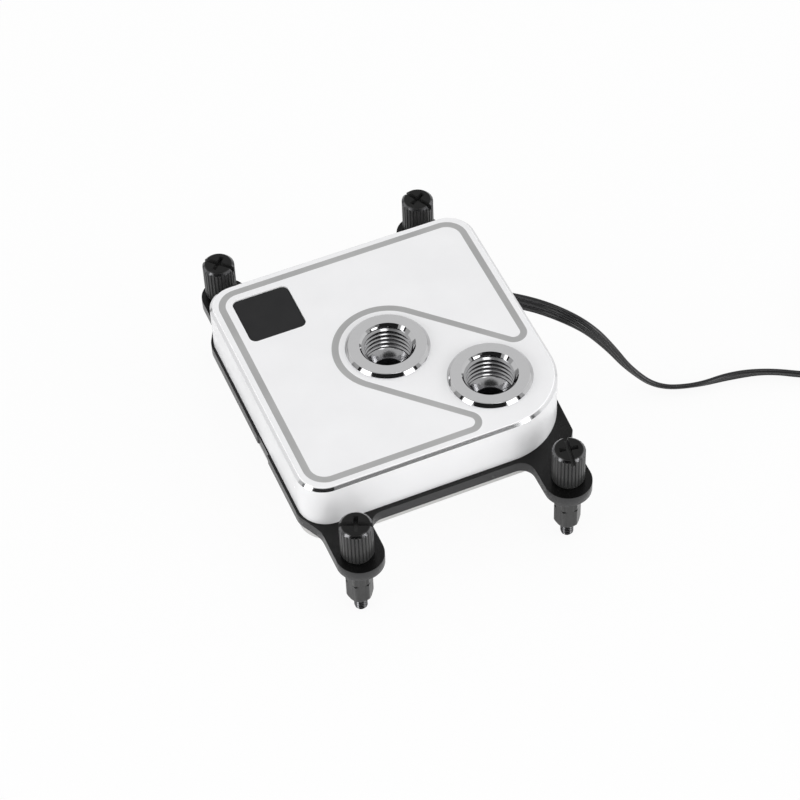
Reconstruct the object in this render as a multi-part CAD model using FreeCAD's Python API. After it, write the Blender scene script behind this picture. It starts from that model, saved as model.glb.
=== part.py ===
"""Liquid cooling cold plate: a processor water block with its mounting hardware and light lead.

Frame: millimetres, +Z up. The origin is the centre of the copper contact face that presses on
the processor. +X runs along the 54 mm spacing of the socket holes and +Y along the 90 mm one.
The stack, from below: cold plate, bracket round the flow block's foot, cover, port collars.
"""
import FreeCAD, Part
import math
import os

V = FreeCAD.Vector
UP = V(0, 0, 1)

# ---- socket interface ----
socket_pitch_x = 54.0
socket_pitch_y = 90.0
socket_seat_depth = 7.6          # from the contact face down to the standoffs' seats

# ---- cold plate ----
contact_side = 42.0
contact_height = 3.1
contact_corner = 2.0
plate_inset = 0.2                # the plate's edge inside the cover's side
plate_thick = 3.0
fin_thick = 0.5
fin_gap = 0.5
fin_count = 26
fin_length = 26.0
fin_depth = 1.8
header_length = 4.5              # open trough past each end of the fins

# ---- mounting bracket ----
bracket_thick = 3.0
bracket_left_lip = 0.7           # how far it shows past the cover's side
bracket_right_lip = 0.0
bracket_end_lip = 1.2
bracket_rim = 5.0                # width of the frame that the cover hides, round the opening
bracket_opening_corner = 5.0
ear_outer = 5.5                  # from the hole's axis to the ear's outer and inner edges
ear_inner = 6.2
front_ear_end = 6.4              # and to the ear's tip
back_ear_end = 4.4
ear_root_fillet = 3.5
shoulder_run = 6.5               # along Y, from the frame's side to the ear's side
shoulder_gap = 6.7               # from the frame's end back to where the shoulder starts
shoulder_round = 6.0
corner_taper_run = 13.0          # the frame's side by the outlet tapers in before its ear
corner_taper = 0.8
nick_depth = 0.35                # shallow relief in the left side
nick_length = 7.0
nick_y = -6.0
ear_hole = 4.4

# ---- cover ----
cover_side = 70.0
cover_corner = 7.0
cover_outlet_corner = 17.3       # the corner round the outlet is far rounder
cover_height = 12.75
cover_wall = 1.6
cover_roof = 2.4
cover_chamfer = 0.85

# ---- ports, G 1/4 ----
outlet_inset = 16.33             # from the cover's two sides in to the outlet's axis
port_bore = 11.8
port_mouth = 13.7
port_flange = 20.7
port_flange_chamfer = 0.9
port_proud = 1.15
port_neck = 16.8
port_depth = 10.0                # from the flange's top to the foot of the neck
port_passage = 8.0
port_boss = 20.4

# ---- flow block ----
block_height = 6.3               # above the bracket
block_clearance = 0.2
pocket_wall = 2.5                # between the seal's path and the pocket of the jet plate
channel_width = 5.0
channel_height = 2.9

# ---- jet plate and insert ----
jet_plate_thick = 0.7
jet_insert_thick = 1.3
jet_slit_width = 1.6
jet_slot_width = 4.0
jet_slit_length = 22.0
jet_corner = 3.0
jet_end_width = 3.4

# ---- seals and screws ----
seal_inset = 6.0                 # the seal's path inside the bracket's opening
seal_corner = 6.0
seal_cord = 1.8
port_seal_cord = 1.2
plate_screw = 2.5
plate_screw_head = 4.7
plate_screw_length = 7.5
plate_screw_corner_inset = 4.2   # the screws' axes inside the bracket's opening
plate_screw_side_inset = 2.8
drive_flats = 1.5

# ---- light ----
loop_inset = 2.95                # centre line of the light guide inside the cover's side
loop_width = 1.7
loop_corner = 4.7
loop_tip = 2.5
loop_notch = 12.7                # half width of the notch that the loop leaves round the ports
guide_depth = 1.4
peg_size = 1.2
peg_gap = 0.2
led_count = 18
led_side = 2.0
led_height = 0.9
board_thick = 1.0
board_slack = 0.4

# ---- badge plate ----
badge_side = 14.3
badge_corner = 1.6
badge_thick = 1.0
badge_sunk = 0.3
badge_inset = 12.9               # the badge plate's centre inside the cover's two sides
badge_slack = 0.15

# ---- thumbscrews ----
head_size = 8.0
head_height = 10.6
head_teeth = 28
head_groove = 0.22
head_chamfer = 0.7
drive_slot = 1.1
drive_depth = 1.8
drive_arm = 4.6
shank_size = 4.0
shank_reach = 6.0                # into the standoff

drive_turn = {"front_left": -24.0, "front_right": 79.0, "back_left": -45.0, "back_right": -61.0}

# ---- standoffs ----
hex_flats = 5.8
hex_break = 0.4                  # the corners' small chamfer under the bracket
hex_taper = 1.5                  # and the long one at the foot
hex_foot = 4.3                   # its smaller end
stud_size = 3.2
stud_length = 4.6
stud_round = 0.9
hex_turn = {"front_left": -9.0, "front_right": -12.0, "back_left": 11.0, "back_right": 22.0}

# ---- light lead ----
lead_size = 3.7
grommet_y = 9.3
grommet_z = 13.6
grommet_width = 5.4
grommet_flange = 1.0
grommet_proud = 0.5
lead_sunk = 1.2                  # how deep the lead's end sits in the grommet
coil_radius = 20.0
coil_end_angle = 10.0
coil_band = 4.2
coil_height = 4.2
coil_lead_in = 14.0              # straight lengths of the bundle before and after the ring
coil_lead_out = 17.0
tie_angle = 95.0
tie_span = 14.0                  # degrees of the coil under the tie
tie_thick = 0.6
plug_length = 14.0
plug_width = 10.2
plug_thick = 2.6
plug_socket = 0.9
plug_socket_depth = 6.0
plug_pitch = 2.54

# ---- levels ----
z_plate = contact_height
z_bracket = z_plate + plate_thick
z_cover = z_bracket + bracket_thick
z_block = z_cover + block_height
z_top = z_cover + cover_height
z_ceiling = z_top - cover_roof
z_port = z_top + port_proud
z_neck = z_port - port_depth
z_groove = z_top - guide_depth
z_board = z_block + board_thick
z_seat = -socket_seat_depth
z_floor = z_seat - stud_length

# The lead's centre line, placed by hand from the grommet to the coil; X from the cover's side.
rest_z = z_floor + lead_size / 2
LEAD_ROUTE = [(4.4, 5.7, 14.2), (10.6, -0.1, 13.2), (16.7, -4.4, 9.2), (21.4, -7.2, 2.7),
              (25.6, -10.0, -4.5), (31.7, -13.8, rest_z), (40.6, -16.6, rest_z), (50.4, -17.9, rest_z),
              (59.6, -20.6, rest_z), (68.0, -26.0, rest_z), (77.6, -30.8, rest_z)]

# ---- places that follow the cover and the bracket ----
cover_half = cover_side / 2
cover_inner = cover_half - cover_wall
plate_half = cover_half - plate_inset
opening_half = cover_half - bracket_rim
foot_half = opening_half - block_clearance
seal_half = opening_half - seal_inset
pocket_half = seal_half - pocket_wall
loop_half = cover_half - loop_inset
badge_offset = cover_half - badge_inset
outlet_offset = cover_half - outlet_inset
PORTS = {"inlet": (0.0, 0.0), "outlet": (outlet_offset, -outlet_offset)}
EARS = {"front_left": (-1, -1), "front_right": (1, -1), "back_left": (-1, 1), "back_right": (1, 1)}


# ---- shared shapes ----
def rounded_wire(points, z):
    """Closed wire through corners given as (x, y, radius), each rounded by a tangent arc."""
    arcs = []
    count = len(points)
    for i, (x, y, r) in enumerate(points):
        here = V(x, y, z)
        before = V(points[i - 1][0], points[i - 1][1], z) - here
        after = V(points[(i + 1) % count][0], points[(i + 1) % count][1], z) - here
        half = before.getAngle(after) / 2
        back = r / math.tan(half)
        start = here + before.normalize() * back
        end = here + after.normalize() * back
        middle = here + (before + after).normalize() * (r / math.sin(half) - r)
        arcs.append((start, middle, end))
    edges = []
    for i, (start, middle, end) in enumerate(arcs):
        if start.distanceToPoint(end) > 1e-6:
            edges.append(Part.Arc(start, middle, end).toShape())
        following = arcs[(i + 1) % count][0]
        if end.distanceToPoint(following) > 1e-6:
            edges.append(Part.makeLine(end, following))
    return Part.Wire(edges)


def prism(points, z0, z1):
    """Upright solid between two heights, with a rounded outline."""
    return Part.Face(rounded_wire(points, z0)).extrude(V(0, 0, z1 - z0))


def square(half, corner, x=0.0, y=0.0):
    return [(x - half, y - half, corner), (x + half, y - half, corner),
            (x + half, y + half, corner), (x - half, y + half, corner)]


def housing(inset):
    """The cover's outline drawn in by a wall: three tight corners and the round one."""
    half = cover_half - inset
    tight = cover_corner - inset
    wide = cover_outlet_corner - inset
    return [(-half, -half, tight), (half, -half, wide), (half, half, tight), (-half, half, tight)]


def box(x0, x1, y0, y1, z0, z1):
    return Part.makeBox(x1 - x0, y1 - y0, z1 - z0, V(x0, y0, z0))


def rod(size, x, y, z0, z1):
    return Part.makeCylinder(size / 2, z1 - z0, V(x, y, z0))


def turned(profile, x=0.0, y=0.0):
    """Solid of revolution from (radius, z) corners."""
    corners = [V(r, 0, z) for r, z in profile]
    face = Part.Face(Part.makePolygon(corners + corners[:1]))
    solid = face.revolve(V(0, 0, 0), UP, 360)
    solid.translate(V(x, y, 0))
    return solid


def joined(shapes):
    return shapes[0].multiFuse(shapes[1:]).removeSplitter()


def less(shape, tools):
    return shape.cut(Part.makeCompound(tools)) if tools else shape


def hex_prism(flats, x, y, z0, z1, turn=0.0):
    corner = flats / math.sqrt(3)
    points = []
    for i in range(6):
        angle = math.radians(60 * i + turn)
        points.append(V(x + corner * math.cos(angle), y + corner * math.sin(angle), z0))
    return Part.Face(Part.makePolygon(points + points[:1])).extrude(V(0, 0, z1 - z0))


# ---- cold plate ----
def plate_screw_places():
    c = opening_half - plate_screw_corner_inset
    s = opening_half - plate_screw_side_inset
    return [(-c, -c), (c, -c), (c, c), (-c, c), (0, -s), (s, 0), (0, s), (-s, 0)]


def fin_field():
    """Copper fins left standing in the trough that is milled into the plate."""
    pitch = fin_thick + fin_gap
    first = -(fin_count * pitch + fin_gap) / 2 + fin_gap
    foot = z_bracket - fin_depth
    return [box(first + i * pitch, first + i * pitch + fin_thick, -fin_length / 2, fin_length / 2,
                foot, z_bracket) for i in range(fin_count)]


def cold_plate():
    flange = prism(square(plate_half, cover_corner), z_plate, z_bracket)
    contact = prism(square(contact_side / 2, contact_corner), 0, z_plate)
    width = fin_count * (fin_thick + fin_gap) + fin_gap
    reach = fin_length / 2 + header_length
    trough = box(-width / 2, width / 2, -reach, reach, z_bracket - fin_depth, z_bracket)
    body = joined([flange, contact]).cut(less(trough, fin_field()))
    sink = (plate_screw_head - plate_screw) / 2
    holes = [turned([(0, z_plate), (plate_screw_head / 2, z_plate), (plate_screw / 2, z_plate + sink),
                     (plate_screw / 2, z_bracket), (0, z_bracket)], x, y)
             for x, y in plate_screw_places()]
    return less(body, holes)


def plate_screws():
    """Countersunk screws from below, through the plate and up into the flow block."""
    sink = (plate_screw_head - plate_screw) / 2
    tip = z_plate + plate_screw_length
    screws = []
    for x, y in plate_screw_places():
        body = turned([(0, z_plate), (plate_screw_head / 2, z_plate), (plate_screw / 2, z_plate + sink),
                       (plate_screw / 2, tip), (0, tip)], x, y)
        screws.append(body.cut(hex_prism(drive_flats, x, y, z_plate, z_plate + sink)))
    return Part.makeCompound(screws)


# ---- mounting bracket ----
def ear_corners(sx, sy, lip):
    """One ear with the shoulder that leads to it, for the corner on sides sx and sy."""
    hx, hy = socket_pitch_x / 2, socket_pitch_y / 2
    side = cover_half + lip
    end = cover_half + bracket_end_lip
    outer, inner = hx + ear_outer, hx - ear_inner
    tip = hy + (front_ear_end if sy < 0 else back_ear_end)
    half = (outer - inner) / 2
    start = end - shoulder_gap
    corners = [(side, start, shoulder_round), (outer, start + shoulder_run, shoulder_round),
               (outer, tip, half), (inner, tip, half), (inner, end, ear_root_fillet)]
    return [(sx * x, sy * y, r) for x, y, r in corners]


def outlet_ear_corners():
    """The ear beside the rounder corner: the side tapers, then steps in to the ear."""
    corners = ear_corners(1, -1, bracket_right_lip)
    side = cover_half + bracket_right_lip
    start = corners[0][1] - (shoulder_run - corner_taper) / 2
    taper = [(side, start + corner_taper_run, shoulder_round), (side - corner_taper, start, corner_taper),
             (corners[1][0], start - corner_taper - (side - corner_taper - corners[1][0]), corner_taper)]
    return taper + corners[2:]


def bracket_outline():
    left = -(cover_half + bracket_left_lip)
    high, low = nick_y + nick_length / 2, nick_y - nick_length / 2
    inner = left + nick_depth
    nick = [(left, high, 0.0), (inner, high - nick_depth, 0.0),
            (inner, low + nick_depth, 0.0), (left, low, 0.0)]
    return (nick + ear_corners(-1, -1, bracket_left_lip) + outlet_ear_corners()[::-1]
            + ear_corners(1, 1, bracket_right_lip) + ear_corners(-1, 1, bracket_left_lip)[::-1])


def ear_places():
    return {name: (sx * socket_pitch_x / 2, sy * socket_pitch_y / 2) for name, (sx, sy) in EARS.items()}


def mounting_bracket():
    plate = prism(bracket_outline(), z_bracket, z_cover)
    opening = prism(square(opening_half, bracket_opening_corner), z_bracket, z_cover)
    holes = [rod(ear_hole, x, y, z_bracket, z_cover) for x, y in ear_places().values()]
    return less(plate, [opening] + holes)


# ---- flow block ----
def water_passages():
    """Inlet straight down to the jet slot; two headers joined to the outlet by a side channel."""
    roof = z_bracket + jet_plate_thick + jet_insert_thick
    high = roof + channel_height
    half = channel_width / 2
    header = fin_length / 2 + header_length / 2
    reach = jet_slit_length / 2
    cuts = [prism(square(pocket_half, jet_corner), z_bracket, roof),
            box(-jet_slot_width / 2, jet_slot_width / 2, -reach, reach, roof, high),
            box(outlet_offset - half, outlet_offset + half, -header - half, header + half, roof, high)]
    for y in (-header, header):
        cuts.append(box(-reach, outlet_offset + half, y - half, y + half, roof, high))
    for x, y in PORTS.values():
        cuts.append(rod(port_passage, x, y, roof, z_neck))
        cuts.append(rod(port_neck, x, y, z_neck, z_ceiling))
    return cuts


def main_seal():
    """Square seal, pressed flat so that it fills its groove in the block's foot."""
    half = seal_cord / 2
    outer = prism(square(seal_half + half, seal_corner + half), z_bracket, z_bracket + seal_cord)
    return outer.cut(prism(square(seal_half - half, seal_corner - half), z_bracket, z_bracket + seal_cord))


def port_seal(name):
    """Ring pressed flat between the boss and the foot of the collar's neck."""
    x, y = PORTS[name]
    ring = (port_bore + port_neck) / 4
    half = port_seal_cord / 2
    return turned([(ring - half, z_neck - port_seal_cord), (ring + half, z_neck - port_seal_cord),
                   (ring + half, z_neck), (ring - half, z_neck)], x, y)


def grommet_space():
    """Pocket in the block's side that the lead's grommet fills, behind the cover's wall."""
    half = grommet_width / 2 + grommet_flange
    low, high = grommet_y - half, grommet_y + half
    return box(cover_inner - cover_wall - block_clearance, cover_inner, low, high, z_cover, z_block)


def flow_block():
    body = prism(housing(cover_wall + block_clearance), z_cover, z_block)
    foot = prism(square(foot_half, bracket_opening_corner - block_clearance), z_bracket, z_cover)
    bosses = [rod(port_boss, x, y, z_block, z_ceiling) for x, y in PORTS.values()]
    screw_top = z_plate + plate_screw_length
    holes = [rod(plate_screw, x, y, z_bracket, screw_top) for x, y in plate_screw_places()]
    seals = [main_seal()] + [port_seal(name) for name in PORTS]
    return less(joined([body, foot] + bosses), water_passages() + seals + holes + [grommet_space()])


# ---- jet plate and its insert ----
def jet_openings(width, z0, z1):
    header = fin_length / 2 + header_length / 2
    reach = jet_slit_length / 2
    slots = [box(-width / 2, width / 2, -reach, reach, z0, z1)]
    for y in (-header, header):
        slots.append(box(-reach, reach, y - jet_end_width / 2, y + jet_end_width / 2, z0, z1))
    return slots


def jet_plate():
    top = z_bracket + jet_plate_thick
    sheet = prism(square(pocket_half, jet_corner), z_bracket, top)
    return less(sheet, jet_openings(jet_slit_width, z_bracket, top))


def jet_insert():
    foot = z_bracket + jet_plate_thick
    top = foot + jet_insert_thick
    return less(prism(square(pocket_half, jet_corner), foot, top), jet_openings(jet_slot_width, foot, top))


# ---- port collars ----
def port_collar(name):
    """Threaded collar: its flange holds the cover down on the flow block's boss."""
    x, y = PORTS[name]
    mouth = (port_mouth - port_bore) / 2
    profile = [(port_bore / 2, z_neck), (port_neck / 2, z_neck), (port_neck / 2, z_top),
               (port_flange / 2, z_top), (port_flange / 2 - port_flange_chamfer, z_port),
               (port_mouth / 2, z_port), (port_bore / 2, z_port - mouth)]
    return turned(profile, x, y)


# ---- light ----
def loop_outline(offset):
    """The light guide's centre line, moved outwards by an offset: a square with a slot-like notch."""
    half = loop_half + offset
    round_corner = loop_corner + offset
    tip = loop_tip + offset
    notch = loop_notch - offset
    arm = notch * math.sqrt(2)
    return [(-half, half, round_corner), (half, half, round_corner), (half, arm - half, tip),
            (0, arm, notch), (-arm, 0, notch), (half - arm, -half, tip), (-half, -half, round_corner)]


def loop_band(width, z0, z1):
    outer = prism(loop_outline(width / 2), z0, z1)
    return outer.cut(prism(loop_outline(-width / 2), z0, z1))


def light_places():
    """Evenly spaced places along the loop: point and direction of the line there."""
    fine = 10
    points = rounded_wire(loop_outline(0), 0).discretize(Number=led_count * fine + 1)
    places = []
    for i in range(led_count):
        k = i * fine + fine // 2
        places.append((points[k], math.degrees(math.atan2(points[k + 1].y - points[k - 1].y,
                                                          points[k + 1].x - points[k - 1].x))))
    return places


def block_at(point, angle, length, width, z0, z1):
    piece = box(-length / 2, length / 2, -width / 2, width / 2, z0, z1)
    piece.rotate(V(0, 0, 0), UP, angle)
    piece.translate(V(point.x, point.y, 0))
    return piece


def light_guide():
    foot = z_board + led_height + peg_gap
    pegs = [block_at(p, a, peg_size, peg_size, foot, z_groove) for p, a in light_places()]
    return joined([loop_band(loop_width, z_groove, z_top)] + pegs)


def leds():
    return Part.makeCompound([block_at(p, a, led_side, led_side, z_board, z_board + led_height)
                              for p, a in light_places()])


def led_board():
    board = prism(housing(cover_wall + board_slack), z_block, z_board)
    half = port_boss / 2 + board_slack
    x, y = PORTS["outlet"]
    slot = [rod(2 * half, 0, 0, z_block, z_board), rod(2 * half, x, y, z_block, z_board)]
    web = block_at(V(x / 2, y / 2, 0), -45, math.hypot(x, y), 2 * half, z_block, z_board)
    return less(board, slot + [web])


# ---- badge plate ----
def badge_outline(slack):
    return square(badge_side / 2 + slack, badge_corner + slack, -badge_offset, badge_offset)


def badge_plate():
    top = z_top - badge_sunk
    return prism(badge_outline(0), top - badge_thick, top)


# ---- cover ----
def cover_shell():
    body = prism(housing(0), z_cover, z_top)
    rim = [edge for edge in body.Edges if edge.BoundBox.ZMin > z_top - 1e-6]
    body = body.makeChamfer(cover_chamfer, rim)
    return body.cut(prism(housing(cover_wall), z_cover, z_ceiling))


def lead_slot(x0, x1):
    """Slot open at the cover's lower edge, with a round top, that the grommet slides up into."""
    half = grommet_width / 2
    low = box(x0, x1, grommet_y - half, grommet_y + half, z_cover, grommet_z)
    head = Part.makeCylinder(half, x1 - x0, V(x0, grommet_y, grommet_z), V(1, 0, 0))
    return joined([low, head])


def top_cover():
    floor = z_top - badge_sunk - badge_thick
    windows = [block_at(p, a, peg_size, peg_size, z_ceiling, z_groove) for p, a in light_places()]
    cuts = [loop_band(loop_width, z_groove, z_top), prism(badge_outline(badge_slack), floor, z_top),
            lead_slot(cover_inner, cover_half)]
    cuts += [rod(port_neck, x, y, z_ceiling, z_top) for x, y in PORTS.values()]
    return less(cover_shell(), cuts + windows)


# ---- thumbscrews ----
def knurled_head(z0, z1):
    """Straight-knurled head: flat-topped teeth with V grooves between them."""
    outer = head_size / 2
    points = []
    for i in range(head_teeth):
        for part, radius in ((0.0, outer), (0.55, outer), (0.78, outer - head_groove)):
            angle = 2 * math.pi * (i + part) / head_teeth
            points.append(V(radius * math.cos(angle), radius * math.sin(angle), z0))
    head = Part.Face(Part.makePolygon(points + points[:1])).extrude(V(0, 0, z1 - z0))
    c = head_chamfer
    bounds = turned([(0, z0), (outer - c / 2, z0), (outer, z0 + c),
                     (outer, z1 - c), (outer - c, z1), (0, z1)])
    return head.common(bounds)


def thumbscrew(name):
    x, y = ear_places()[name]
    top = z_cover + head_height
    head = knurled_head(z_cover, top)
    half = drive_slot / 2
    cuts = [box(-head_size, head_size, -half, half, top - drive_depth, top),
            box(-half, half, -drive_arm / 2, drive_arm / 2, top - drive_depth, top)]
    shank = rod(shank_size, 0, 0, z_bracket - shank_reach, z_cover)
    screw = joined([less(head, cuts), shank])
    screw.rotate(V(0, 0, 0), UP, drive_turn[name])
    screw.translate(V(x, y, 0))
    return screw


# ---- standoffs ----
def standoff(name):
    """Hexagonal standoff: tapped from above for the thumbscrew, with a stud below."""
    x, y = ear_places()[name]
    corner = hex_flats / math.sqrt(3)
    stud = stud_size / 2
    bounds = turned([(0, z_seat), (hex_foot / 2, z_seat), (corner, z_seat + hex_taper),
                     (corner, z_bracket - hex_break), (corner - hex_break, z_bracket), (0, z_bracket)], x, y)
    body = hex_prism(hex_flats, x, y, z_seat, z_bracket, hex_turn[name]).common(bounds)
    pin = turned([(0, z_floor), (stud - stud_round, z_floor), (stud, z_floor + stud_round),
                  (stud, z_seat), (0, z_seat)], x, y)
    bore = rod(shank_size, x, y, z_bracket - shank_reach, z_bracket)
    return joined([body, pin]).cut(bore)


# ---- light lead ----
def lead_points():
    """The route's points, starting at the end that sits in the grommet."""
    route = [V(cover_half + x, y, z) for x, y, z in LEAD_ROUTE]
    hole = V(cover_half + grommet_proud, grommet_y, grommet_z)
    along = (hole - route[0]).normalize()
    return [hole + along * lead_sunk] + route


def lead_bends(points):
    """Start, middle and end of the arc at each inner point, with its radius."""
    bends = []
    for before, here, after in zip(points, points[1:], points[2:]):
        back, ahead = before - here, after - here
        reach = 0.45 * min(back.Length, ahead.Length)
        half = back.getAngle(ahead) / 2
        radius = reach * math.tan(half)
        start = here + V(back).normalize() * reach
        end = here + V(ahead).normalize() * reach
        inward = ((start + end) / 2 - here).normalize()
        bends.append((start, here + inward * (radius / math.sin(half) - radius), end, radius))
    return bends


def lead():
    points = lead_points()
    edges = []
    here = points[0]
    for start, middle, end, radius in lead_bends(points):
        edges += [Part.makeLine(here, start), Part.Arc(start, middle, end).toShape()]
        here = end
    edges.append(Part.makeLine(here, points[-1]))
    path = Part.Wire(edges)
    ring = Part.Wire(Part.makeCircle(lead_size / 2, points[0], points[1] - points[0]))
    tube = path.makePipeShell([ring], True, False)
    print("lead bend radii", [round(bend[3], 1) for bend in lead_bends(points)])
    print("lead length", round(path.Length, 1), "volume ratio",
          round(tube.Volume / (path.Length * math.pi * lead_size ** 2 / 4), 3))
    return tube


def lead_grommet():
    """Soft plug: a flange behind the wall, a neck in the slot, and a blind hole along the lead."""
    points = lead_points()
    hole = Part.makeCylinder(lead_size / 2, 3 * lead_sunk, points[0], points[1] - points[0])
    return joined([grommet_space(), lead_slot(cover_inner, cover_half + grommet_proud)]).cut(hole)


def coil_frame():
    """Where the coil lies: its centre, and the angles at which the lead joins and leaves it."""
    before, last = lead_points()[-2:]
    along = V(last.x - before.x, last.y - before.y, 0).normalize()
    left = V(-along.y, along.x, 0)
    centre = V(last.x, last.y, 0) + along * coil_lead_in + left * coil_radius
    heading = math.degrees(math.atan2(along.y, along.x))
    return centre, heading - 90.0


def coil_straight(centre, angle, y0, y1):
    """Straight length of the bundle, tangent to the ring at an angle."""
    inner, outer = coil_radius - coil_band / 2, coil_radius + coil_band / 2
    block = box(inner, outer, y0, y1, z_floor, z_floor + coil_height)
    block.rotate(V(0, 0, 0), UP, angle)
    block.translate(centre)
    return block


def ring_part(band, foot, height, start, span):
    """Part of a ring of rectangular section about the coil's centre."""
    centre = coil_frame()[0]
    inner, outer = coil_radius - band / 2, coil_radius + band / 2
    corners = [V(inner, 0, foot), V(outer, 0, foot), V(outer, 0, foot + height), V(inner, 0, foot + height)]
    solid = Part.Face(Part.makePolygon(corners + corners[:1])).revolve(V(0, 0, 0), UP, span)
    solid.rotate(V(0, 0, 0), UP, start)
    solid.translate(centre)
    return solid


def lead_coil():
    centre, start = coil_frame()
    ring = ring_part(coil_band, z_floor, coil_height, 0, 360)
    return joined([ring, coil_straight(centre, start, -coil_lead_in, 0),
                   coil_straight(centre, coil_end_angle, 0, coil_lead_out)])


def lead_tie():
    outer = ring_part(coil_band + 2 * tie_thick, z_floor, coil_height + tie_thick, tie_angle, tie_span)
    return outer.cut(ring_part(coil_band, z_floor, coil_height, tie_angle, tie_span))


def lead_plug():
    """Flat three-way socket plug; the second of its four places is blank."""
    centre = coil_frame()[0]
    y0 = coil_lead_out
    y1 = y0 + plug_length
    body = box(-plug_width / 2, plug_width / 2, y0, y1, z_floor, z_floor + plug_thick)
    middle = z_floor + plug_thick / 2
    half = plug_socket / 2
    places = (-1.5 * plug_pitch, 0.5 * plug_pitch, 1.5 * plug_pitch)
    mouth = y1 - plug_socket_depth
    sockets = [box(x - half, x + half, mouth, y1, middle - half, middle + half) for x in places]
    plug = less(body, sockets)
    plug.translate(V(coil_radius, 0, 0))
    plug.rotate(V(0, 0, 0), UP, coil_end_angle)
    plug.translate(centre)
    return plug


# ---- all pieces ----
def build():
    parts = {
        "cold_plate": cold_plate(), "plate_screws": plate_screws(), "mounting_bracket": mounting_bracket(),
        "flow_block": flow_block(), "main_seal": main_seal(), "jet_plate": jet_plate(),
        "jet_insert": jet_insert(), "led_board": led_board(), "leds": leds(), "light_guide": light_guide(),
        "badge_plate": badge_plate(), "top_cover": top_cover(), "lead_grommet": lead_grommet(),
        "lead": lead(), "lead_coil": lead_coil(), "lead_tie": lead_tie(), "lead_plug": lead_plug(),
    }
    for name in PORTS:
        parts[name + "_port"] = port_collar(name)
        parts[name + "_seal"] = port_seal(name)
    for name in EARS:
        parts["thumbscrew_" + name] = thumbscrew(name)
        parts["standoff_" + name] = standoff(name)
    return parts


os.makedirs("parts", exist_ok=True)
for node, shape in build().items():
    state = "valid" if shape.isValid() else "NOT VALID"
    print(node, state, len(shape.Solids), "solids", round(shape.Volume, 1))
    shape.exportStep("parts/" + node + ".step")
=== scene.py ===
import math

import bmesh
import bpy
from mathutils import Matrix, Vector


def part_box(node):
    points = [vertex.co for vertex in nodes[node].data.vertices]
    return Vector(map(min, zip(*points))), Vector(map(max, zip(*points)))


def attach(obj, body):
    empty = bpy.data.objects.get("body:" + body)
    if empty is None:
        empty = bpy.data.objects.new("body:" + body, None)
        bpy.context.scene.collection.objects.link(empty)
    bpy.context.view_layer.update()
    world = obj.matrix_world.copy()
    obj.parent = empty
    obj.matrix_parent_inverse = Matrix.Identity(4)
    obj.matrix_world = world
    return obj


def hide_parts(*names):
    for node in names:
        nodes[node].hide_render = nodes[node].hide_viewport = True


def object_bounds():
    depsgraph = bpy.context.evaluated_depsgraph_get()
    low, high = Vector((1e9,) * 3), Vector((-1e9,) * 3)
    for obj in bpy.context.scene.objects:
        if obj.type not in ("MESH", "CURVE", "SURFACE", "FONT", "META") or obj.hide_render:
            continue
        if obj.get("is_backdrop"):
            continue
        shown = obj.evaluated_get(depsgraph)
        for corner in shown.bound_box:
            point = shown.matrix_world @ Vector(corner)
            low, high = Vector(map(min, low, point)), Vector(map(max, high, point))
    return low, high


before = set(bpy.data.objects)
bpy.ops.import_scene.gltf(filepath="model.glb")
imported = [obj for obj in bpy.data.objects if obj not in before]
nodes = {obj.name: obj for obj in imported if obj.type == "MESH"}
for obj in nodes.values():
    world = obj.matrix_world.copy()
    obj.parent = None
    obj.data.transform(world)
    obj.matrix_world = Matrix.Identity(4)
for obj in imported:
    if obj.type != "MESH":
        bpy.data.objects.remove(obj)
cad_low, cad_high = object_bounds()


# ---- Cold plate ----
# The copper base that presses on the processor. It is milled from solid copper, its fins are
# left standing in a trough, and the whole plate is nickel plated and lapped on the contact face.
def blank_finish(name):
    """A plain material to build on: itself, its nodes and its surface shader."""
    made = bpy.data.materials.new(name)
    made.use_nodes = True
    return made, made.node_tree, made.node_tree.nodes["Principled BSDF"]


def metal(name, colour, roughness, grain=(400.0, 400.0, 400.0), wear=0.08, bump=0.02):
    """Plain metal whose tone, polish and surface follow one fine grain."""
    made, tree, shader = blank_finish(name)
    shader.inputs["Metallic"].default_value = 1.0
    place = tree.nodes.new("ShaderNodeTexCoord")
    stretch = tree.nodes.new("ShaderNodeMapping")
    stretch.inputs["Scale"].default_value = grain
    noise = tree.nodes.new("ShaderNodeTexNoise")
    noise.inputs["Scale"].default_value = 1.0
    noise.inputs["Detail"].default_value = 6.0
    tone = tree.nodes.new("ShaderNodeMixRGB")
    tone.inputs["Color1"].default_value = (*[c * (1 - wear) for c in colour], 1)
    tone.inputs["Color2"].default_value = (*[min(1, c * (1 + wear)) for c in colour], 1)
    polish = tree.nodes.new("ShaderNodeMapRange")
    polish.inputs["To Min"].default_value = roughness * 0.75
    polish.inputs["To Max"].default_value = roughness * 1.25
    relief = tree.nodes.new("ShaderNodeBump")
    relief.inputs["Strength"].default_value = bump
    relief.inputs["Distance"].default_value = 0.0002
    link = tree.links.new
    link(place.outputs["Object"], stretch.inputs["Vector"])
    link(stretch.outputs["Vector"], noise.inputs["Vector"])
    link(noise.outputs["Fac"], tone.inputs["Fac"])
    link(tone.outputs["Color"], shader.inputs["Base Color"])
    link(noise.outputs["Fac"], polish.inputs["Value"])
    link(polish.outputs["Result"], shader.inputs["Roughness"])
    link(noise.outputs["Fac"], relief.inputs["Height"])
    link(relief.outputs["Normal"], shader.inputs["Normal"])
    return made


def give(node_names, finish):
    """Puts one finish on solids that stay as they are."""
    for name in node_names:
        nodes[name].data.materials.clear()
        nodes[name].data.materials.append(finish)


give(["cold_plate"],
     metal("nickel plating", (0.74, 0.735, 0.725), 0.16, grain=(300.0, 6000.0, 300.0)))


# ---- Plate screws ----
# Eight countersunk steel screws with a hexagon socket. They come up through the plate from below
# and hold it to the flow block, with the bracket between the two.
give(["plate_screws"], metal("plain steel", (0.50, 0.50, 0.52), 0.3))


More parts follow.
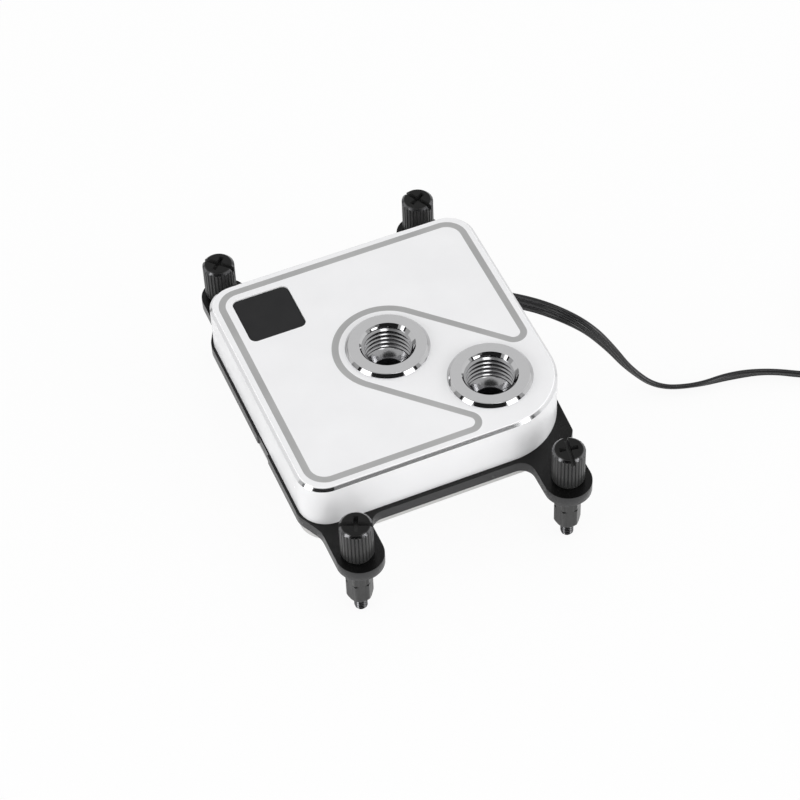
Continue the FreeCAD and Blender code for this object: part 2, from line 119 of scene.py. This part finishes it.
# ---- Jet plate ----
# A thin stainless sheet with one slit that sprays the water on the fins. It lies in the flow
# block's pocket, under the soft insert that seals its edges.
give(["jet_plate"],
     metal("stainless sheet", (0.55, 0.55, 0.56), 0.28, grain=(200.0, 9000.0, 200.0)))


# ---- Seals, insert and grommet ----
# Soft black rubber, moulded: the square seal of the plate, the two rings under the port collars,
# the insert of the jet plate, and the grommet that the lead leaves through.
def coated(name, dark, pale, roughness, grain, bump, specular=0.5, painted_light_tone=None, top=0.0):
    """Paint, plastic or rubber: two near tones mottled by a grain, with a fine raised surface.

    Where a painted light tone is given, all that lies below the height top is that tone: painted
    light on the sides and edges."""
    made, tree, shader = blank_finish(name)
    shader.inputs["Specular IOR Level"].default_value = specular
    place = tree.nodes.new("ShaderNodeTexCoord")
    coarse = tree.nodes.new("ShaderNodeTexNoise")
    coarse.inputs["Scale"].default_value = grain * 0.06
    coarse.inputs["Detail"].default_value = 3.0
    fine = tree.nodes.new("ShaderNodeTexNoise")
    fine.inputs["Scale"].default_value = grain
    fine.inputs["Detail"].default_value = 4.0
    tone = tree.nodes.new("ShaderNodeValToRGB")
    tone.color_ramp.elements[0].position = 0.3
    tone.color_ramp.elements[0].color = (*dark, 1)
    tone.color_ramp.elements[1].position = 0.7
    tone.color_ramp.elements[1].color = (*pale, 1)
    polish = tree.nodes.new("ShaderNodeMapRange")
    polish.inputs["To Min"].default_value = roughness - 0.06
    polish.inputs["To Max"].default_value = roughness + 0.06
    relief = tree.nodes.new("ShaderNodeBump")
    relief.inputs["Strength"].default_value = bump
    relief.inputs["Distance"].default_value = 0.0001
    link = tree.links.new
    link(place.outputs["Object"], coarse.inputs["Vector"])
    link(place.outputs["Object"], fine.inputs["Vector"])
    link(coarse.outputs["Fac"], tone.inputs["Fac"])
    link(tone.outputs["Color"], shader.inputs["Base Color"])
    link(coarse.outputs["Fac"], polish.inputs["Value"])
    link(polish.outputs["Result"], shader.inputs["Roughness"])
    link(fine.outputs["Fac"], relief.inputs["Height"])
    link(relief.outputs["Normal"], shader.inputs["Normal"])
    # Painted light: the faces below the top take a lighter tone, for the light that sides and edges
    # catch.
    if painted_light_tone:
        height = tree.nodes.new("ShaderNodeSeparateXYZ")
        above = tree.nodes.new("ShaderNodeMapRange")
        above.inputs["From Min"].default_value = top - 0.00015
        above.inputs["From Max"].default_value = top - 0.00005
        painted_light_mix = tree.nodes.new("ShaderNodeMixRGB")
        painted_light_mix.inputs["Color1"].default_value = (*painted_light_tone, 1)
        link(place.outputs["Object"], height.inputs["Vector"])
        link(height.outputs["Z"], above.inputs["Value"])
        link(above.outputs["Result"], painted_light_mix.inputs["Fac"])
        link(tone.outputs["Color"], painted_light_mix.inputs["Color2"])
        link(painted_light_mix.outputs["Color"], shader.inputs["Base Color"])
    return made


give(["main_seal", "inlet_seal", "outlet_seal", "jet_insert", "lead_grommet"],
     coated("black rubber", (0.016, 0.016, 0.016), (0.026, 0.026, 0.027), 0.6, 1800.0, 0.15))


# ---- Mounting bracket ----
# Laser-cut steel plate with four ears, powder coated in satin black. It goes round the foot of
# the flow block, clamped between the cold plate's rim and the block's shoulder.
bracket_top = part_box("mounting_bracket")[1].z
# Painted light: all below the top face, its cut edges and sides, takes a lighter tone for the light
# they catch from the floor and lamps.
give(["mounting_bracket"],
     coated("black powder coat", (0.002, 0.002, 0.002), (0.005, 0.005, 0.005), 0.25, 2600.0, 0.2,
            specular=0.3, painted_light_tone=(0.040, 0.040, 0.041), top=bracket_top))


def soften(node_name, width):
    """Breaks the sharp edges of a solid by a narrow round."""
    joined = nodes[node_name].modifiers.new("joined", "WELD")
    joined.merge_threshold = 0.000002
    rounded = nodes[node_name].modifiers.new("broken edges", "BEVEL")
    rounded.width = width
    rounded.segments = 2
    rounded.limit_method = "ANGLE"
    rounded.angle_limit = math.radians(50)


soften("mounting_bracket", 0.0002)


# ---- Flow block ----
# Machined from black acetal, under the cover. It carries the two ports, the water passages and
# the pocket of the jet plate, and the eight plate screws bite in its foot.
give(["flow_block"],
     coated("black acetal", (0.018, 0.018, 0.02), (0.028, 0.028, 0.03), 0.45, 1500.0, 0.1))


# ---- Light board and its lights ----
# A thin circuit board in dark solder mask, laid on the flow block round the ports, with a row of
# small moulded lights under the light guide.
give(["led_board"],
     coated("solder mask", (0.014, 0.022, 0.018), (0.022, 0.034, 0.027), 0.4, 900.0, 0.1))
give(["leds"], coated("light lens", (0.72, 0.68, 0.45), (0.85, 0.82, 0.62), 0.25, 900.0, 0.05))


# ---- Light guide ----
# A loop of frosted grey acrylic that spreads the lights' glow into one line. It is pressed into
# the cover's groove, flush with its top.
give(["light_guide"],
     coated("frosted acrylic", (0.36, 0.36, 0.36), (0.42, 0.42, 0.42), 0.5, 1200.0, 0.05))


# ---- Cover ----
# A shell milled from aluminium and painted satin white. The chamfer round its top edge is cut
# after the painting, so it is bare and bright, but for a thin lip of paint along its upper edge.
def bare_slope(finish, colour, roughness, spread, level, fade):
    """Bare metal through a finish, on faces that slope at 45 degrees and lie below a level."""
    tree = finish.node_tree
    bare = tree.nodes.new("ShaderNodeBsdfPrincipled")
    bare.inputs["Metallic"].default_value = 1.0
    bare.inputs["Base Color"].default_value = (*colour, 1)
    bare.inputs["Roughness"].default_value = roughness
    facing = tree.nodes.new("ShaderNodeNewGeometry")
    upward = tree.nodes.new("ShaderNodeSeparateXYZ")
    sloping = tree.nodes.new("ShaderNodeMath")
    sloping.operation = "COMPARE"
    sloping.inputs[1].default_value = 0.7071
    sloping.inputs[2].default_value = spread
    place = tree.nodes.new("ShaderNodeTexCoord")
    height = tree.nodes.new("ShaderNodeSeparateXYZ")
    lower = tree.nodes.new("ShaderNodeMapRange")
    lower.inputs["From Min"].default_value = level - fade / 2
    lower.inputs["From Max"].default_value = level + fade / 2
    lower.inputs["To Min"].default_value = 1.0
    lower.inputs["To Max"].default_value = 0.0
    both = tree.nodes.new("ShaderNodeMath")
    both.operation = "MULTIPLY"
    either = tree.nodes.new("ShaderNodeMixShader")
    link = tree.links.new
    link(facing.outputs["True Normal"], upward.inputs["Vector"])
    link(upward.outputs["Z"], sloping.inputs[0])
    link(place.outputs["Object"], height.inputs["Vector"])
    link(height.outputs["Z"], lower.inputs["Value"])
    link(sloping.outputs["Value"], both.inputs[0])
    link(lower.outputs["Result"], both.inputs[1])
    link(both.outputs["Value"], either.inputs["Fac"])
    link(tree.nodes["Principled BSDF"].outputs["BSDF"], either.inputs[1])
    link(bare.outputs["BSDF"], either.inputs[2])
    link(either.outputs["Shader"], tree.nodes["Material Output"].inputs["Surface"])


cover_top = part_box("top_cover")[1].z
white = coated("white satin paint", (0.845, 0.845, 0.855), (0.875, 0.875, 0.885), 0.25, 1400.0,
               0.006)
bare_slope(white, (0.80, 0.80, 0.81), 0.12, spread=0.15, level=cover_top - 0.0002, fade=0.0002)
give(["top_cover"], white)


# ---- Badge plate ----
# A small aluminium tile, anodised black and left bare. It is glued in its pocket at the back
# left of the cover, a little below the paint.
give(["badge_plate"],
     coated("black anodising", (0.016, 0.016, 0.017), (0.020, 0.020, 0.021), 0.4, 3000.0, 0.06,
            specular=0.25))
soften("badge_plate", 0.0001)


# ---- Port collars ----
# Turned brass with bright plating, whose neck sits on its seal in the flow block. Each holds a
# G 1/4 thread, and its flange clamps the cover.
collar_low, collar_high = (corner.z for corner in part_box("inlet_port"))
flange_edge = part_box("inlet_port")[1].x     # the inlet stands on the part's own axis
flange_slope = 0.00075
flange_wall = 0.0003
neck_edge = 0.0084
mouth_edge = 0.00685
thread_crest = 0.00582
thread_root = 0.00655
thread_pitch = 0.00142
ring_bore = 0.0042
cone_top = collar_low + 0.0017
round_steps = 96
same_point = 0.000003

# One pitch of the thread: how far along it each corner lies, and how deep between crest and root.
thread_form = ((0.0, 1), (0.12, 1), (0.26, 0.5), (0.40, 0), (0.60, 0), (0.74, 0.5), (0.88, 1))

fine_grain = (900.0, 900.0, 900.0)
bright_plating = metal("bright plating", (0.92, 0.92, 0.93), 0.06, grain=fine_grain, wear=0.02,
                       bump=0.004)
# The thread's copy of the plating is darker: painted shade for the dim bore.
thread_painted_shade = metal("thread plating with painted shade", (0.60, 0.60, 0.61), 0.14, grain=fine_grain,
                       wear=0.05, bump=0.01)
# The bevels' copy is darker too: painted shade that dims what the flange's slope and the mouth's
# bevel reflect.
bevel_painted_shade = metal("bevel plating with painted shade", (0.55, 0.55, 0.555), 0.06, grain=fine_grain,
                      wear=0.02, bump=0.004)


def mesh_piece(name, shape, finishes, smooth_below):
    """The finished shape as an object at the origin, riding on the fixed body."""
    mesh = bpy.data.meshes.new(name)
    shape.to_mesh(mesh)
    shape.free()
    for finish in finishes:
        mesh.materials.append(finish)
    for face in mesh.polygons:
        face.use_smooth = True
    mesh.set_sharp_from_angle(angle=math.radians(smooth_below))
    made = bpy.data.objects.new(name, mesh)
    bpy.context.scene.collection.objects.link(made)
    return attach(made, "root")


def spun(shape, profile, centre, climb=0.0):
    """An open line of (radius, z) corners turned once round an upright axis; returns its points."""
    corners = [shape.verts.new((centre.x + r, centre.y, z)) for r, z in profile]
    edges = [shape.edges.new(pair) for pair in zip(corners, corners[1:])]
    before = set(shape.verts) - set(corners)
    bmesh.ops.spin(shape, geom=corners + edges, cent=centre, axis=(0, 0, 1),
                   dvec=(0, 0, climb / round_steps), angle=2 * math.pi, steps=round_steps,
                   use_merge=climb == 0.0, use_duplicate=False)
    return [v for v in shape.verts if v not in before]


def arm_of(v, centre):
    """From the axis straight out to a point of a turned shape."""
    return Vector((v.co.x - centre.x, v.co.y - centre.y))


def draw_to(v, centre, reach, z):
    """Moves a point of a turned shape along its arm to a new reach, and to a height."""
    arm = arm_of(v, centre)
    v.co = (centre.x + arm.x / arm.length * reach, centre.y + arm.y / arm.length * reach, z)


for port in ("inlet_port", "outlet_port"):
    low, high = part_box(port)
    centre = Vector(((low.x + high.x) / 2, (low.y + high.y) / 2, 0))
    collar = bmesh.new()

    # The thread: one long zigzag that climbs a pitch as it goes round, cut off by the mouth's
    # chamfer above and running out just over the cone that narrows the bore to the passage.
    zigzag = []
    for k in range(math.ceil((collar_high - collar_low) / thread_pitch) + 2):
        z = collar_low - thread_pitch + k * thread_pitch
        for share, depth in thread_form:
            zigzag.append((thread_crest + depth * (thread_root - thread_crest),
                           z + share * thread_pitch))
    for v in spun(collar, zigzag, centre, climb=thread_pitch):
        z = min(max(v.co.z, cone_top), collar_high)
        fade = min(1, max(0, (z - cone_top) / thread_pitch * 3))
        reach = thread_crest + (arm_of(v, centre).length - thread_crest) * fade
        reach = max(reach, mouth_edge - (collar_high - z))
        if z >= collar_high:
            reach = mouth_edge
        draw_to(v, centre, reach, z)
    bmesh.ops.remove_doubles(collar, verts=collar.verts, dist=same_point)
    bmesh.ops.dissolve_degenerate(collar, dist=0.000001, edges=collar.edges)

    # The turned outside, from the cone up round the neck, the flange's wall, its slope and its
    # flat top. Narrow bands beside the edges keep the flat faces flat.
    wall_top = cover_top + flange_wall
    slope_top = flange_edge - flange_slope
    spun(collar, [
        (thread_crest, cone_top), (ring_bore, cone_top - (thread_crest - ring_bore)),
        (ring_bore, collar_low), (neck_edge, collar_low), (neck_edge, cover_top),
        (flange_edge - 0.00006, cover_top), (flange_edge, cover_top + 0.00005),
        (flange_edge, wall_top), (flange_edge - 0.00003, wall_top + 0.00006),
        (slope_top + 0.00006, collar_high - 0.00012), (slope_top, collar_high - 0.00004),
        (slope_top - 0.00008, collar_high), (slope_top - 0.0002, collar_high),
        (mouth_edge + 0.0001, collar_high), (mouth_edge, collar_high)], centre)
    bmesh.ops.remove_doubles(collar, verts=collar.verts, dist=same_point)
    bmesh.ops.recalc_face_normals(collar, faces=collar.faces)
    piece = mesh_piece(port.replace("port", "collar"), collar,
                       [bright_plating, thread_painted_shade, bevel_painted_shade], smooth_below=35)
    # Thread faces, the flange's slope and the mouth's bevel take the darker copies of the plating:
    # painted shade.
    for face in piece.data.polygons:
        out = (face.center - Vector((centre.x, centre.y, face.center.z))).length
        in_thread = out < thread_root and face.center.z < collar_high - 0.0008
        on_flange_slope = out > neck_edge and abs(face.normal.z - 0.66) < 0.15
        on_mouth_bevel = out < mouth_edge and face.center.z > collar_high - 0.0011
        if in_thread:
            face.material_index = 1
        elif on_flange_slope or on_mouth_bevel:
            face.material_index = 2
    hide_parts(port)


# ---- Thumbscrews ----
# Turned steel, straight knurled, blackened. A slot and a short cross arm take a screwdriver, and
# handling has rubbed the foot of the chamfer round the top back to bare steel.
four_ears = ("front_left", "front_right", "back_left", "back_right")
head_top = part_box("thumbscrew_front_left")[1].z
# Painted light: all below the top face, the knurled sides, slot and chamfer, takes a lighter tone
# for the light those faces catch.
blackened = coated("blackened steel", (0.002, 0.002, 0.002), (0.004, 0.004, 0.004), 0.30, 2400.0,
                   0.08, specular=0.38, painted_light_tone=(0.032, 0.032, 0.032), top=head_top)
bare_slope(blackened, (0.15, 0.15, 0.155), 0.18, spread=0.12, level=head_top - 0.0002, fade=0.00001)
give(["thumbscrew_" + ear for ear in four_ears], blackened)


# ---- Standoffs ----
# Hexagon bar, blackened: a shallow groove is turned round it, so that it nicks the six corners,
# and the foot is turned down to a threaded stud that screws into the plate behind the board.
hex_half = 0.0029
hex_corner = hex_half / math.cos(math.radians(30))
hex_break = 0.0004
hex_foot = 0.00215
foot_rise = 0.0015
foot_bands = 8
groove_edge = 0.0030
groove_half = 0.0003
shank_hole = 0.002
shank_hole_depth = 0.006
seat_level = -0.0076
stud_crest = 0.0016
stud_root = 0.00128
stud_pitch = 0.0007
stud_point = 0.0009
stud_form = ((0.0, 1), (0.42, 0), (0.58, 0))
hex_turns = (-9.0, -12.0, 11.0, 22.0)

black_bar = coated("blackened bar", (0.008, 0.008, 0.008), (0.014, 0.014, 0.014), 0.22, 2400.0,
                   0.06, specular=0.8)
black_thread = metal("blackened thread", (0.15, 0.15, 0.155), 0.16)

for ear, hex_turn in zip(four_ears, hex_turns):
    low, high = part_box("standoff_" + ear)
    centre = Vector(((low.x + high.x) / 2, (low.y + high.y) / 2, 0))
    standoff = bmesh.new()

    # The bar is spun as a round one, then drawn in to its six flats. The hole in its top stays
    # round, and the curve of its foot gets a few bands.
    groove = (seat_level + high.z) / 2 + 0.0001
    bar_side = [(stud_root, seat_level), (hex_foot, seat_level)]
    for k in range(1, foot_bands + 1):
        bar_side.append((hex_foot + (hex_corner - hex_foot) * k / foot_bands,
                         seat_level + foot_rise * k / foot_bands))
    bar_side += [
        (hex_corner, groove - groove_half), (groove_edge, groove - groove_half + 0.0001),
        (groove_edge, groove + groove_half - 0.0001), (hex_corner, groove + groove_half),
        (hex_corner, high.z - hex_break), (hex_corner - hex_break / 2, high.z - hex_break / 2),
        (hex_corner - hex_break, high.z), (shank_hole, high.z),
        (shank_hole, high.z - shank_hole_depth), (0.0, high.z - shank_hole_depth)]
    spun(standoff, bar_side, centre)
    for v in standoff.verts:
        arm = arm_of(v, centre)
        if arm.length > shank_hole + 0.0001:
            bearing = math.degrees(math.atan2(arm.y, arm.x)) - hex_turn - 30
            off = (bearing + 30) % 60 - 30
            draw_to(v, centre, min(arm.length, hex_half / math.cos(math.radians(off))), v.co.z)

    # The stud's thread, cut off by the point's chamfer below and the bar's foot above.
    zigzag = []
    for k in range(math.ceil((seat_level - low.z) / stud_pitch) + 2):
        z = low.z - stud_pitch + k * stud_pitch
        for share, depth in stud_form:
            zigzag.append((stud_crest - depth * (stud_crest - stud_root), z + share * stud_pitch))
    for v in spun(standoff, zigzag, centre, climb=stud_pitch):
        z = min(max(v.co.z, low.z), seat_level)
        reach = min(arm_of(v, centre).length, stud_crest - stud_point + max(0, z - low.z))
        if z >= seat_level - 0.0002:
            reach = stud_root
        draw_to(v, centre, reach, z)
    bmesh.ops.remove_doubles(standoff, verts=standoff.verts, dist=same_point)
    bmesh.ops.dissolve_degenerate(standoff, dist=0.000001, edges=standoff.edges)
    point_rim = [e for e in standoff.edges if e.is_boundary and e.verts[0].co.z < low.z + 0.00001]
    bmesh.ops.contextual_create(standoff, geom=point_rim)
    bmesh.ops.recalc_face_normals(standoff, faces=standoff.faces)
    piece = mesh_piece("bar_" + ear, standoff, [black_bar, black_thread], smooth_below=25)
    for face in piece.data.polygons:
        if face.center.z < seat_level - 0.0001:
            face.material_index = 1
    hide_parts("standoff_" + ear)


# ---- Light lead ----
# Flat three-wire ribbon in soft black plastic. It leaves through the grommet, drops to the table,
# and its spare length is wound flat into a small coil, tied, that ends in the plug.
floor_z = cad_low.z
lead_width = 0.0037
lead_thick = 0.00125
lead_route = [
    (0.034624, 0.010109, 0.013465), (0.0394, 0.0057, 0.0142), (0.0456, -0.0001, 0.0132),
    (0.0517, -0.0044, 0.0092), (0.0564, -0.0072, 0.0027), (0.0606, -0.0100, -0.0045),
    (0.0667, -0.0141, -0.01035), (0.0756, -0.0175, -0.01035), (0.0854, -0.0181, -0.01035),
    (0.0946, -0.0206, -0.01035), (0.1030, -0.0260, -0.01035), (0.1126, -0.0308, -0.01035)]
# How far the ribbon leans over at each point, in degrees; 0 and 180 are flat on the table.
lead_lean = [45, 50, 60, 86, 112, 127, 130, 131, 106, 124, 118, 145]

# The coil: two turns and a part, each on top of the last, wound to the left.
coil_centre = Vector((0.13407, -0.01917))
coil_radius = 0.020
coil_start = -116.57
coil_end = 10.0 + 720.0
coil_pitch = 0.00132
coil_steps = 34
for i in range(coil_steps + 1):
    angle = coil_start + (coil_end - coil_start) * i / coil_steps
    bearing = math.radians(angle)
    height = floor_z + lead_thick / 2 + 0.00005 + coil_pitch * (angle - coil_start) / 360
    lead_route.append((coil_centre.x + coil_radius * math.cos(bearing),
                       coil_centre.y + coil_radius * math.sin(bearing), height))
    lead_lean.append(180)

# From the coil the end runs straight on, down to the table and into the plug.
leaving = math.radians(coil_end)
last_x, last_y, last_height = lead_route[-1]
for along, height in ((0.006, 0.0032), (0.012, 0.0016), (0.0172, 0.0013)):
    lead_route.append((last_x - along * math.sin(leaving), last_y + along * math.cos(leaving),
                       floor_z + height))
    lead_lean.append(180)

line = bpy.data.curves.new("lead line", "CURVE")
line.dimensions = "3D"
line.twist_mode = "Z_UP"
line.resolution_u = 10
spline = line.splines.new("NURBS")
spline.points.add(len(lead_route) - 1)
for point, place, lean in zip(spline.points, lead_route, lead_lean):
    point.co = (*place, 1)
    point.tilt = math.radians(lean)
spline.order_u = 3
spline.use_endpoint_u = True
carrier = bpy.data.objects.new("lead line", line)
bpy.context.scene.collection.objects.link(carrier)
lead_path = [tuple(vertex.co) for vertex in bpy.data.meshes.new_from_object(carrier).vertices]

# The ribbon's section: three round wires side by side, with a valley between each two.
wire_radius = lead_thick / 2
wire_pitch = (lead_width - lead_thick) / 2
wire_arc = 6
valley = math.asin(0.45)
upper = []
for k in (1, 0, -1):
    first = 0 if k == 1 else valley
    last = math.pi if k == -1 else math.pi - valley
    for j in range(wire_arc + 1):
        angle = first + (last - first) * j / wire_arc
        upper.append((wire_pitch * k + wire_radius * math.cos(angle),
                      wire_radius * math.sin(angle)))
upper.pop()
rim = upper + [(-x, -y) for x, y in upper]
section = bpy.data.curves.new("lead section", "CURVE")
section.dimensions = "2D"
outline = section.splines.new("POLY")
outline.points.add(len(rim) - 1)
for point, (x, y) in zip(outline.points, rim):
    point.co = (x, y, 0, 1)
outline.use_cyclic_u = True
profile = bpy.data.objects.new("lead section", section)
bpy.context.scene.collection.objects.link(profile)
line.bevel_mode = "OBJECT"
line.bevel_object = profile
line.use_fill_caps = True
bpy.context.view_layer.update()
ribbon_mesh = bpy.data.meshes.new_from_object(
    carrier.evaluated_get(bpy.context.evaluated_depsgraph_get()))
for face in ribbon_mesh.polygons:
    face.use_smooth = True
ribbon = bpy.data.objects.new("lead_ribbon", ribbon_mesh)
bpy.context.scene.collection.objects.link(ribbon)
for spare in (carrier, profile):
    bpy.data.objects.remove(spare)

sleeve = coated("soft black sleeve", (0.011, 0.011, 0.012), (0.017, 0.017, 0.018), 0.24, 1200.0,
                0.06, specular=0.6)
ribbon_mesh.materials.append(sleeve)
give(["lead", "lead_coil", "lead_tie"], sleeve)
give(["lead_plug"],
     coated("black plug plastic", (0.017, 0.017, 0.018), (0.026, 0.026, 0.027), 0.4, 1600.0, 0.2))
soften("lead_tie", 0.00015)
soften("lead_plug", 0.0003)
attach(ribbon, "root")
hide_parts("lead", "lead_coil")


# ---- Floor ----
# A plain pale sheet for the part to stand on. The camera sees most of it as the white backdrop,
# with the part's soft shadow left on it.
sheet = bmesh.new()
bmesh.ops.create_grid(sheet, x_segments=1, y_segments=1, size=3.0,
                      matrix=Matrix.Translation((0, 0, floor_z)))
floor_mesh = bpy.data.meshes.new("floor")
sheet.to_mesh(floor_mesh)
sheet.free()
floor = bpy.data.objects.new("floor", floor_mesh)
bpy.context.scene.collection.objects.link(floor)
pale, tree, shader = blank_finish("pale floor")
shader.inputs["Base Color"].default_value = (0.86, 0.86, 0.86, 1)
shader.inputs["Roughness"].default_value = 0.9
shader.inputs["Specular IOR Level"].default_value = 0.0
glow = tree.nodes.new("ShaderNodeEmission")
glow.inputs["Color"].default_value = (1, 1, 1, 1)
rays = tree.nodes.new("ShaderNodeLightPath")
share = tree.nodes.new("ShaderNodeMath")
share.operation = "MULTIPLY"
share.inputs[1].default_value = 0.92
mixed = tree.nodes.new("ShaderNodeMixShader")
link = tree.links.new
link(rays.outputs["Is Camera Ray"], share.inputs[0])
link(share.outputs["Value"], mixed.inputs["Fac"])
link(shader.outputs["BSDF"], mixed.inputs[1])
link(glow.outputs["Emission"], mixed.inputs[2])
link(mixed.outputs["Shader"], tree.nodes["Material Output"].inputs["Surface"])
floor_mesh.materials.append(pale)
floor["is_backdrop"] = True


# ---- Studio ----
# A white room whose walls look grey in the bright metal, a tall softbox on each side, a strip
# overhead and soft fills that no metal mirrors. The cards are seen in the reflections alone.
scene = bpy.context.scene
scene.view_settings.view_transform = "Standard"
room = bpy.data.worlds.new("room")
scene.world = room
room.use_nodes = True
tree = room.node_tree
backdrop = tree.nodes["Background"]
backdrop.inputs["Color"].default_value = (1, 1, 1, 1)
rays = tree.nodes.new("ShaderNodeLightPath")
shiny = tree.nodes.new("ShaderNodeMath")
shiny.operation = "MAXIMUM"
level = tree.nodes.new("ShaderNodeMapRange")
level.inputs["To Min"].default_value = 0.70
place = tree.nodes.new("ShaderNodeTexCoord")
height = tree.nodes.new("ShaderNodeSeparateXYZ")
walls = tree.nodes.new("ShaderNodeValToRGB")
walls.color_ramp.elements[0].position = 0.10
walls.color_ramp.elements[0].color = (0.32, 0.32, 0.32, 1)
walls.color_ramp.elements[1].position = 1.0
walls.color_ramp.elements[1].color = (0.20, 0.20, 0.20, 1)
for position, tone in ((0.22, 0.53), (0.90, 0.53), (0.95, 0.20)):
    walls.color_ramp.elements.new(position).color = (tone, tone, tone, 1)
total = tree.nodes.new("ShaderNodeMath")
total.operation = "MAXIMUM"
link = tree.links.new
link(rays.outputs["Is Glossy Ray"], shiny.inputs[0])
link(rays.outputs["Is Transmission Ray"], shiny.inputs[1])
link(shiny.outputs["Value"], level.inputs["Value"])
link(place.outputs["Generated"], height.inputs["Vector"])
link(height.outputs["Z"], walls.inputs["Fac"])
link(walls.outputs["Color"], level.inputs["To Max"])
link(level.outputs["Result"], total.inputs[0])
link(rays.outputs["Is Camera Ray"], total.inputs[1])
link(total.outputs["Value"], backdrop.inputs["Strength"])

middle = Vector((0, 0, 0.01))
viewed_from = math.radians(-20.983)


def stand(name, data, turn, rise, distance):
    """Stands a lamp or card at a bearing from the camera's and a height angle, facing the part."""
    made = bpy.data.objects.new(name, data)
    scene.collection.objects.link(made)
    a, e = viewed_from + math.radians(turn), math.radians(rise)
    out = Vector((math.sin(a) * math.cos(e), -math.cos(a) * math.cos(e), math.sin(e)))
    made.location = middle + out * distance
    made.rotation_euler = out.to_track_quat("Z", "Y").to_euler()
    made.visible_camera = False
    return made


# The lamps. Turn and rise are in degrees, distance, width and height in metres, power in watts.
for name, turn, rise, distance, width, height, power, mirrored in (
        ("softbox left", -56, 19, 1.0, 0.40, 0.58, 2.2, True),
        ("softbox right", 50, 17, 1.0, 0.40, 0.52, 2.2, True),
        ("fill left", -90, 14, 1.3, 0.9, 0.6, 2.4, False),
        ("fill right", 90, 12, 1.3, 0.9, 0.6, 4.2, False),
        ("fill front", -3, 12, 1.3, 0.9, 0.5, 0.3, False),
        ("fill above", 0, 85, 1.3, 1.0, 1.0, 1.3, False),
        ("overhead strip", 38, 72, 1.2, 0.26, 0.45, 0.7, True)):
    lamp = bpy.data.lights.new(name, "AREA")
    lamp.shape = "RECTANGLE"
    lamp.size, lamp.size_y = width, height
    lamp.energy = power
    stand(name, lamp, turn, rise, distance).visible_glossy = mirrored

# The cards, placed in the same way, from black to near white.
for name, turn, rise, distance, width, height, tone in (
        ("dark_card", -3, 24.2, 1.1, 1.52, 1.1, 0.02),
        ("grey_card_right", 38, 38, 1.0, 0.22, 0.20, 0.22),
        ("dark_edge_left", -73, 19, 1.0, 0.10, 0.5, 0.02),
        ("dark_edge_right", 67, 17, 1.0, 0.10, 0.5, 0.02),
        ("white_card_left", -107, 14, 1.3, 0.6, 0.6, 0.88),
        ("white_card_right", 104, 13, 1.3, 1.1, 0.7, 0.95)):
    shape = bmesh.new()
    bmesh.ops.create_grid(shape, x_segments=1, y_segments=1, size=0.5)
    board = bpy.data.meshes.new(name)
    shape.to_mesh(board)
    shape.free()
    paper, tree, shader = blank_finish(name)
    shader.inputs["Base Color"].default_value = (0, 0, 0, 1)
    shader.inputs["Specular IOR Level"].default_value = 0.0
    shader.inputs["Emission Color"].default_value = (1, 1, 1, 1)
    shader.inputs["Emission Strength"].default_value = tone
    board.materials.append(paper)
    card = stand(name, board, turn, rise, distance)
    card.scale = (width, height, 1)
    card.visible_diffuse = False
    card.visible_shadow = False
    card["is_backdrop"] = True

camera_data = bpy.data.cameras.new("camera")
camera_data.sensor_width = 36.0
camera_data.lens = 123.205
camera_data.clip_start = 0.01
camera_data.clip_end = 20.0
camera = bpy.data.objects.new("camera", camera_data)
scene.collection.objects.link(camera)
camera.matrix_world = Matrix((
    (0.920244, 0.315026, -0.232186, -0.154383),
    (-0.390221, 0.693698, -0.605402, -0.409179),
    (-0.029651, 0.647721, 0.761301, 0.515487),
    (0.0, 0.0, 0.0, 1.0)))
scene.camera = camera

low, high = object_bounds()
